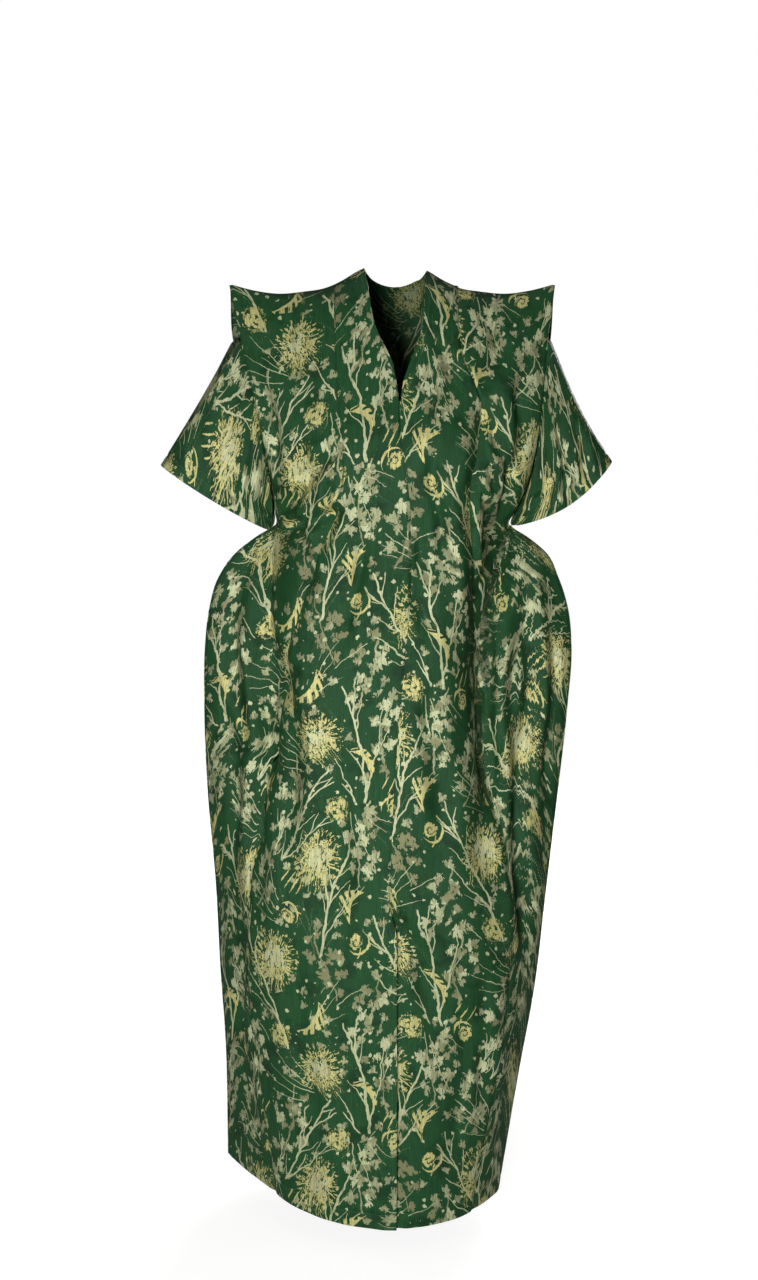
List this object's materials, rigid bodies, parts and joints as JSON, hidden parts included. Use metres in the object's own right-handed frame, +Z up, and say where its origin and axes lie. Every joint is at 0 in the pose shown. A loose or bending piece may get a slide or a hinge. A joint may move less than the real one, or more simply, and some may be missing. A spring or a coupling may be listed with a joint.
{
  "type": "grand boubou robe",
  "caption": "Long hollow brocade robe in its worn form: peaked open shoulders, V neck, short flared sleeves, full rounded sides and a lapped slit down to a narrow hem.",
  "frame": {"origin": "middle of the shoulder line at the neck, where the wearer's shoulders hold the robe up", "axes": "+Z up, -Y the front, +X the wearer's left"},
  "size_m": [0.69, 0.3135, 1.4631],
  "materials": {
    "front_centre_right_cloth": "satin brocade with metallic gold and champagne figuring",
    "front_centre_left_cloth": "satin brocade with metallic gold and champagne figuring",
    "front_side_right_cloth": "satin brocade with metallic gold and champagne figuring",
    "front_side_left_cloth": "satin brocade with metallic gold and champagne figuring",
    "back_cloth": "satin brocade with metallic gold and champagne figuring",
    "sleeve_right_cloth": "satin brocade with metallic gold and champagne figuring",
    "sleeve_left_cloth": "satin brocade with metallic gold and champagne figuring",
    "neck_facing_right_cloth": "satin brocade with metallic gold and champagne figuring",
    "neck_facing_left_cloth": "satin brocade with metallic gold and champagne figuring"
  },
  "bodies": {
    "root": {"front_centre_right": "front_centre_right_cloth", "front_centre_left": "front_centre_left_cloth", "front_side_right": "front_side_right_cloth", "front_side_left": "front_side_left_cloth", "back": "back_cloth", "sleeve_right": "sleeve_right_cloth", "sleeve_left": "sleeve_left_cloth", "neck_facing_right": "neck_facing_right_cloth", "neck_facing_left": "neck_facing_left_cloth"}
  },
  "joints": []
}
